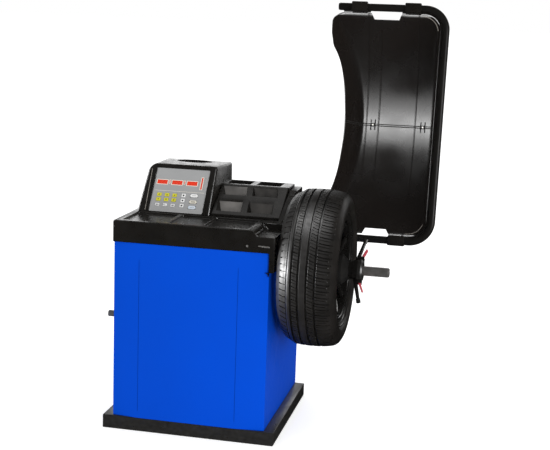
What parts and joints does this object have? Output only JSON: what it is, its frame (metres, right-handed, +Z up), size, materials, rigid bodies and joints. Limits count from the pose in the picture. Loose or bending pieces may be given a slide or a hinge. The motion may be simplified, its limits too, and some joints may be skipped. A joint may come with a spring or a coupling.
{
  "type": "wheel balancer",
  "caption": "Free-standing car wheel balancer: sheet-metal cabinet with motor-driven threaded spindle and clamped wheel, keypad console, weight tray and tilting wheel guard.",
  "frame": {"origin": "middle of the base pan's underside, on the floor", "axes": "+Z up; the front, with the keypad, faces -Y; the spindle points along +X"},
  "size_m": [1.2311, 1.1564, 1.7338],
  "materials": {
    "blue_paint": "semi-gloss powder coat",
    "black_paint": "satin powder coat",
    "black_plastic": "fine-grained satin moulding",
    "guard_plastic": "smooth vacuum-formed sheet",
    "grey_panel": "satin membrane",
    "red_display": "red display window",
    "yellow_key": "satin",
    "white_key": "satin",
    "beige_key": "satin",
    "pale_blue_key": "satin",
    "green_board": "solder mask",
    "steel": "turned",
    "cast_iron": "raw, painted dark",
    "aluminium": "machined",
    "grey_metal": "satin",
    "rubber": "matt",
    "tyre_rubber": "matt",
    "dark_alloy": "dark satin",
    "red_grip": "satin",
    "nylon": "natural"
  },
  "bodies": {
    "machine": {"base_pan": "black_paint", "cabinet_shell": "blue_paint", "rear_panel": "blue_paint", "top_cover": "black_plastic", "weight_tray": "black_plastic", "console_housing": "black_plastic", "console_panel": "grey_panel", "display_left": "red_display", "display_middle": "red_display", "display_right": "red_display", "level_bar": "red_display", "main_board": "green_board", "support_column": "cast_iron", "spindle_housing": "cast_iron", "rear_bearing": "steel", "front_bearing": "steel", "force_sensor": "steel", "drive_motor": "cast_iron", "motor_bracket": "black_paint", "drive_belt": "rubber", "hanger_peg": "grey_metal", "power_inlet": "black_plastic", "hinge_bracket": "black_paint", "left_hinge_bush": "nylon", "right_hinge_bush": "nylon"},
    "spindle": {"spindle_shaft": "steel", "spindle_pulley": "aluminium", "encoder_disc": "black_plastic", "centring_cone": "steel", "wheel_rim": "dark_alloy", "tyre": "tyre_rubber", "valve_stem": "rubber"},
    "motor_rotor": {"motor_pulley": "aluminium"},
    "clamp_cup": {"pressure_cup": "rubber"},
    "nut": {"quick_nut": "black_paint"},
    "upper_lever": {"upper_squeeze_lever": "red_grip"},
    "lower_lever": {"lower_squeeze_lever": "red_grip"},
    "guard": {"guard_tube": "black_paint", "guard_lower_shell": "guard_plastic", "guard_upper_shell": "guard_plastic", "upper_left_clamp": "black_plastic", "upper_right_clamp": "black_plastic", "lower_right_clamp": "black_plastic"},
    "gauge": {"gauge_rod": "steel"},
    "rocker": {"mains_rocker": "red_grip"},
    "distance_up_key_body": {"distance_up_key": "yellow_key"},
    "width_up_key_body": {"width_up_key": "yellow_key"},
    "diameter_up_key_body": {"diameter_up_key": "yellow_key"},
    "distance_down_key_body": {"distance_down_key": "yellow_key"},
    "width_down_key_body": {"width_down_key": "yellow_key"},
    "diameter_down_key_body": {"diameter_down_key": "yellow_key"},
    "left_arrow_key_body": {"left_arrow_key": "white_key"},
    "mode_arrow_key_body": {"mode_arrow_key": "white_key"},
    "right_arrow_key_body": {"right_arrow_key": "white_key"},
    "menu_key_1_body": {"menu_key_1": "white_key"},
    "menu_key_2_body": {"menu_key_2": "white_key"},
    "menu_key_3_body": {"menu_key_3": "white_key"},
    "start_key_body": {"start_key": "white_key"},
    "stop_key_body": {"stop_key": "beige_key"},
    "fine_key_body": {"fine_key": "pale_blue_key"}
  },
  "joints": [
    {"name": "spindle_spin", "type": "hinge", "parent": "machine", "child": "spindle", "pos_m": [0, -0.06, 0.676], "axis": [1, 0, 0], "continuous": true},
    {"name": "motor_spin", "type": "hinge", "parent": "machine", "child": "motor_rotor", "pos_m": [0, -0.22, 0.4], "axis": [1, 0, 0], "continuous": true},
    {"name": "nut_slide", "type": "slide", "parent": "spindle", "child": "clamp_cup", "axis": [1, 0, 0], "range_m": [0, 0.09]},
    {"name": "nut_turn", "type": "hinge", "parent": "clamp_cup", "child": "nut", "pos_m": [0, -0.06, 0.676], "axis": [1, 0, 0], "continuous": true},
    {"name": "upper_lever_squeeze", "type": "hinge", "parent": "nut", "child": "upper_lever", "pos_m": [0.632, -0.03222, 0.71877], "axis": [0, -0.8387, 0.5446], "range_deg": [0, 10], "stiffness_Nm_per_rad": 0.6},
    {"name": "lower_lever_squeeze", "type": "hinge", "parent": "nut", "child": "lower_lever", "pos_m": [0.632, -0.08778, 0.63323], "axis": [0, 0.8387, -0.5446], "range_deg": [0, 10], "stiffness_Nm_per_rad": 0.6},
    {"name": "guard_tilt", "type": "hinge", "parent": "machine", "child": "guard", "pos_m": [0, 0.46, 0.703], "axis": [1, 0, 0], "range_deg": [0, 75]},
    {"name": "gauge_slide", "type": "slide", "parent": "machine", "child": "gauge", "axis": [1, 0, 0], "range_m": [0, 0.11]},
    {"name": "mains_rocker_tilt", "type": "hinge", "parent": "machine", "child": "rocker", "pos_m": [-0.15, 0.3158, 0.19], "axis": [1, 0, 0], "range_deg": [-14, 0]},
    {"name": "distance_up_key_press", "type": "slide", "parent": "machine", "child": "distance_up_key_body", "axis": [0, 0.8133, -0.5819], "range_m": [0, 0.001], "stiffness_N_per_m": 400},
    {"name": "width_up_key_press", "type": "slide", "parent": "machine", "child": "width_up_key_body", "axis": [0, 0.8133, -0.5819], "range_m": [0, 0.001], "stiffness_N_per_m": 400},
    {"name": "diameter_up_key_press", "type": "slide", "parent": "machine", "child": "diameter_up_key_body", "axis": [0, 0.8133, -0.5819], "range_m": [0, 0.001], "stiffness_N_per_m": 400},
    {"name": "distance_down_key_press", "type": "slide", "parent": "machine", "child": "distance_down_key_body", "axis": [0, 0.8133, -0.5819], "range_m": [0, 0.001], "stiffness_N_per_m": 400},
    {"name": "width_down_key_press", "type": "slide", "parent": "machine", "child": "width_down_key_body", "axis": [0, 0.8133, -0.5819], "range_m": [0, 0.001], "stiffness_N_per_m": 400},
    {"name": "diameter_down_key_press", "type": "slide", "parent": "machine", "child": "diameter_down_key_body", "axis": [0, 0.8133, -0.5819], "range_m": [0, 0.001], "stiffness_N_per_m": 400},
    {"name": "left_arrow_key_press", "type": "slide", "parent": "machine", "child": "left_arrow_key_body", "axis": [0, 0.8133, -0.5819], "range_m": [0, 0.001], "stiffness_N_per_m": 400},
    {"name": "mode_arrow_key_press", "type": "slide", "parent": "machine", "child": "mode_arrow_key_body", "axis": [0, 0.8133, -0.5819], "range_m": [0, 0.001], "stiffness_N_per_m": 400},
    {"name": "right_arrow_key_press", "type": "slide", "parent": "machine", "child": "right_arrow_key_body", "axis": [0, 0.8133, -0.5819], "range_m": [0, 0.001], "stiffness_N_per_m": 400},
    {"name": "menu_key_1_press", "type": "slide", "parent": "machine", "child": "menu_key_1_body", "axis": [0, 0.8133, -0.5819], "range_m": [0, 0.001], "stiffness_N_per_m": 400},
    {"name": "menu_key_2_press", "type": "slide", "parent": "machine", "child": "menu_key_2_body", "axis": [0, 0.8133, -0.5819], "range_m": [0, 0.001], "stiffness_N_per_m": 400},
    {"name": "menu_key_3_press", "type": "slide", "parent": "machine", "child": "menu_key_3_body", "axis": [0, 0.8133, -0.5819], "range_m": [0, 0.001], "stiffness_N_per_m": 400},
    {"name": "start_key_press", "type": "slide", "parent": "machine", "child": "start_key_body", "axis": [0, 0.8133, -0.5819], "range_m": [0, 0.001], "stiffness_N_per_m": 400},
    {"name": "stop_key_press", "type": "slide", "parent": "machine", "child": "stop_key_body", "axis": [0, 0.8133, -0.5819], "range_m": [0, 0.001], "stiffness_N_per_m": 400},
    {"name": "fine_key_press", "type": "slide", "parent": "machine", "child": "fine_key_body", "axis": [0, 0.8133, -0.5819], "range_m": [0, 0.001], "stiffness_N_per_m": 400}
  ],
  "couplings": [
    {"joint": "motor_spin", "follows": "spindle_spin", "ratio": 3.2},
    {"joint": "lower_lever_squeeze", "follows": "upper_lever_squeeze", "ratio": 1}
  ]
}
